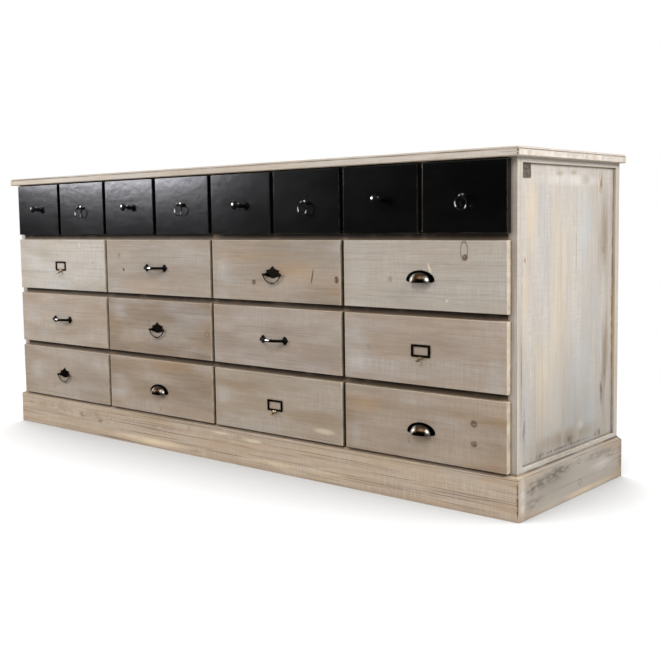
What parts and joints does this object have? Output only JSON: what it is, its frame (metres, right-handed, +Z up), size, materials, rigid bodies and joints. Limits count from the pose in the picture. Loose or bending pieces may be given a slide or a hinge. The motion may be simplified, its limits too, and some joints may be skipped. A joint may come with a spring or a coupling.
{
  "type": "chest of drawers",
  "caption": "Wide sideboard chest in limed pine on a plinth, small black drawers over rows of large wooden drawers, with knobs, rings, cup pulls, card frames, bow handles and bails.",
  "frame": {"origin": "on the floor, at the middle of the plinth's width and depth", "axes": "+X along the front to the right as seen from the front, +Y from the front to the back, +Z up"},
  "size_m": [2.008, 0.5745, 0.855],
  "materials": {
    "limed_pine": "limed pine, fine grain, worn edges",
    "plain_pine": "unfinished pine",
    "black_drawer": "satin black paint on pine",
    "antique_bronze": "antique bronze, dark in the hollows",
    "dark_bronze": "dark bronze frame with a brass tongue",
    "dark_steel": "glossy dark metal",
    "black_iron": "glossy black iron"
  },
  "bodies": {
    "carcass": {"top_board": "limed_pine", "corner_posts": "limed_pine", "side_rails": "limed_pine", "side_panels": "limed_pine", "back_panel": "plain_pine", "back_rails": "plain_pine", "bottom_board": "plain_pine", "middle_bearer": "plain_pine", "plinth_boards": "limed_pine", "front_rails": "limed_pine", "front_uprights": "limed_pine", "partitions": "plain_pine", "drawer_runners": "plain_pine"},
    "drawer_top_1": {"drawer_top_1": "black_drawer", "knob_top_1": "dark_steel"},
    "ring_top_2": {"ring_top_2": "dark_steel"},
    "drawer_top_2": {"drawer_top_2": "black_drawer", "ring_eye_top_2": "dark_steel"},
    "drawer_top_3": {"drawer_top_3": "black_drawer", "knob_top_3": "dark_steel"},
    "ring_top_4": {"ring_top_4": "dark_steel"},
    "drawer_top_4": {"drawer_top_4": "black_drawer", "ring_eye_top_4": "dark_steel"},
    "drawer_top_5": {"drawer_top_5": "black_drawer", "knob_top_5": "dark_steel"},
    "ring_top_6": {"ring_top_6": "dark_steel"},
    "drawer_top_6": {"drawer_top_6": "black_drawer", "ring_eye_top_6": "dark_steel"},
    "drawer_top_7": {"drawer_top_7": "black_drawer", "knob_top_7": "dark_steel"},
    "ring_top_8": {"ring_top_8": "dark_steel"},
    "drawer_top_8": {"drawer_top_8": "black_drawer", "ring_eye_top_8": "dark_steel"},
    "drawer_row_1_1": {"drawer_row_1_1": "limed_pine", "card_pull_row_1_1": "dark_bronze"},
    "drawer_row_1_2": {"drawer_row_1_2": "limed_pine", "bow_handle_row_1_2": "black_iron"},
    "bail_row_1_3": {"bail_row_1_3": "black_iron"},
    "drawer_row_1_3": {"drawer_row_1_3": "limed_pine", "bail_plate_row_1_3": "black_iron"},
    "drawer_row_1_4": {"drawer_row_1_4": "limed_pine", "cup_pull_row_1_4": "antique_bronze"},
    "drawer_row_2_1": {"drawer_row_2_1": "limed_pine", "bow_handle_row_2_1": "black_iron"},
    "bail_row_2_2": {"bail_row_2_2": "black_iron"},
    "drawer_row_2_2": {"drawer_row_2_2": "limed_pine", "bail_plate_row_2_2": "black_iron"},
    "drawer_row_2_3": {"drawer_row_2_3": "limed_pine", "bow_handle_row_2_3": "black_iron"},
    "drawer_row_2_4": {"drawer_row_2_4": "limed_pine", "card_pull_row_2_4": "dark_bronze"},
    "bail_row_3_1": {"bail_row_3_1": "black_iron"},
    "drawer_row_3_1": {"drawer_row_3_1": "limed_pine", "bail_plate_row_3_1": "black_iron"},
    "drawer_row_3_2": {"drawer_row_3_2": "limed_pine", "cup_pull_row_3_2": "antique_bronze"},
    "drawer_row_3_3": {"drawer_row_3_3": "limed_pine", "card_pull_row_3_3": "dark_bronze"},
    "drawer_row_3_4": {"drawer_row_3_4": "limed_pine", "cup_pull_row_3_4": "antique_bronze"}
  },
  "joints": [
    {"name": "drawer_top_1_slide", "type": "slide", "parent": "carcass", "child": "drawer_top_1", "axis": [0, -1, 0], "range_m": [0, 0.32]},
    {"name": "drawer_top_2_slide", "type": "slide", "parent": "carcass", "child": "drawer_top_2", "axis": [0, -1, 0], "range_m": [0, 0.32]},
    {"name": "ring_top_2_swing", "type": "hinge", "parent": "drawer_top_2", "child": "ring_top_2", "pos_m": [-0.6101, -0.2878, 0.74725], "axis": [-1, 0, 0], "range_deg": [-12, 150]},
    {"name": "drawer_top_3_slide", "type": "slide", "parent": "carcass", "child": "drawer_top_3", "axis": [0, -1, 0], "range_m": [0, 0.32]},
    {"name": "drawer_top_4_slide", "type": "slide", "parent": "carcass", "child": "drawer_top_4", "axis": [0, -1, 0], "range_m": [0, 0.32]},
    {"name": "ring_top_4_swing", "type": "hinge", "parent": "drawer_top_4", "child": "ring_top_4", "pos_m": [-0.1219, -0.2878, 0.74775], "axis": [-1, 0, 0], "range_deg": [-12, 150]},
    {"name": "drawer_top_5_slide", "type": "slide", "parent": "carcass", "child": "drawer_top_5", "axis": [0, -1, 0], "range_m": [0, 0.32]},
    {"name": "drawer_top_6_slide", "type": "slide", "parent": "carcass", "child": "drawer_top_6", "axis": [0, -1, 0], "range_m": [0, 0.32]},
    {"name": "ring_top_6_swing", "type": "hinge", "parent": "drawer_top_6", "child": "ring_top_6", "pos_m": [0.3663, -0.2878, 0.74275], "axis": [-1, 0, 0], "range_deg": [-12, 150]},
    {"name": "drawer_top_7_slide", "type": "slide", "parent": "carcass", "child": "drawer_top_7", "axis": [0, -1, 0], "range_m": [0, 0.32]},
    {"name": "drawer_top_8_slide", "type": "slide", "parent": "carcass", "child": "drawer_top_8", "axis": [0, -1, 0], "range_m": [0, 0.32]},
    {"name": "ring_top_8_swing", "type": "hinge", "parent": "drawer_top_8", "child": "ring_top_8", "pos_m": [0.8545, -0.2878, 0.74675], "axis": [-1, 0, 0], "range_deg": [-12, 150]},
    {"name": "drawer_row_1_1_slide", "type": "slide", "parent": "carcass", "child": "drawer_row_1_1", "axis": [0, -1, 0], "range_m": [0, 0.32]},
    {"name": "drawer_row_1_2_slide", "type": "slide", "parent": "carcass", "child": "drawer_row_1_2", "axis": [0, -1, 0], "range_m": [0, 0.32]},
    {"name": "drawer_row_1_3_slide", "type": "slide", "parent": "carcass", "child": "drawer_row_1_3", "axis": [0, -1, 0], "range_m": [0, 0.32]},
    {"name": "bail_row_1_3_swing", "type": "hinge", "parent": "drawer_row_1_3", "child": "bail_row_1_3", "pos_m": [0.2441, -0.2812, 0.55145], "axis": [-1, 0, 0], "range_deg": [-5, 160]},
    {"name": "drawer_row_1_4_slide", "type": "slide", "parent": "carcass", "child": "drawer_row_1_4", "axis": [0, -1, 0], "range_m": [0, 0.32]},
    {"name": "drawer_row_2_1_slide", "type": "slide", "parent": "carcass", "child": "drawer_row_2_1", "axis": [0, -1, 0], "range_m": [0, 0.32]},
    {"name": "drawer_row_2_2_slide", "type": "slide", "parent": "carcass", "child": "drawer_row_2_2", "axis": [0, -1, 0], "range_m": [0, 0.32]},
    {"name": "bail_row_2_2_swing", "type": "hinge", "parent": "drawer_row_2_2", "child": "bail_row_2_2", "pos_m": [-0.2441, -0.2812, 0.37135], "axis": [-1, 0, 0], "range_deg": [-5, 160]},
    {"name": "drawer_row_2_3_slide", "type": "slide", "parent": "carcass", "child": "drawer_row_2_3", "axis": [0, -1, 0], "range_m": [0, 0.32]},
    {"name": "drawer_row_2_4_slide", "type": "slide", "parent": "carcass", "child": "drawer_row_2_4", "axis": [0, -1, 0], "range_m": [0, 0.32]},
    {"name": "drawer_row_3_1_slide", "type": "slide", "parent": "carcass", "child": "drawer_row_3_1", "axis": [0, -1, 0], "range_m": [0, 0.32]},
    {"name": "bail_row_3_1_swing", "type": "hinge", "parent": "drawer_row_3_1", "child": "bail_row_3_1", "pos_m": [-0.7323, -0.2812, 0.18925], "axis": [-1, 0, 0], "range_deg": [-5, 160]},
    {"name": "drawer_row_3_2_slide", "type": "slide", "parent": "carcass", "child": "drawer_row_3_2", "axis": [0, -1, 0], "range_m": [0, 0.32]},
    {"name": "drawer_row_3_3_slide", "type": "slide", "parent": "carcass", "child": "drawer_row_3_3", "axis": [0, -1, 0], "range_m": [0, 0.32]},
    {"name": "drawer_row_3_4_slide", "type": "slide", "parent": "carcass", "child": "drawer_row_3_4", "axis": [0, -1, 0], "range_m": [0, 0.32]}
  ]
}
